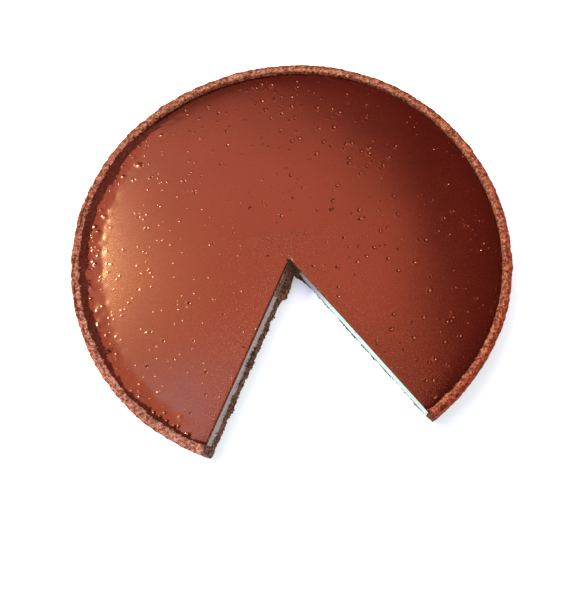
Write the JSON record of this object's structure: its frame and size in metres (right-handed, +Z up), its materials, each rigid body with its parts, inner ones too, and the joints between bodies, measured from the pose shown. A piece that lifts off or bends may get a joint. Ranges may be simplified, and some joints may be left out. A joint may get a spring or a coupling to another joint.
{
  "type": "chocolate tart with a slice removed",
  "caption": "Round flat pastry tart with a baked chocolate filling level just below its rim, and a wedge-shaped slice removed.",
  "frame": {"origin": "centre of the tart ring, on the table", "axes": "+Z up; the missing slice opens towards -Y, +X to its right seen from above with the opening at the bottom"},
  "size_m": [0.2403, 0.2256, 0.0204],
  "materials": {
    "pastry": "dry, crumbly, matt baked pastry",
    "chocolate_filling": "satin baked chocolate with fine pits, glossier where it is cut"
  },
  "bodies": {
    "root": {"crust": "pastry", "filling": "chocolate_filling"}
  },
  "joints": []
}
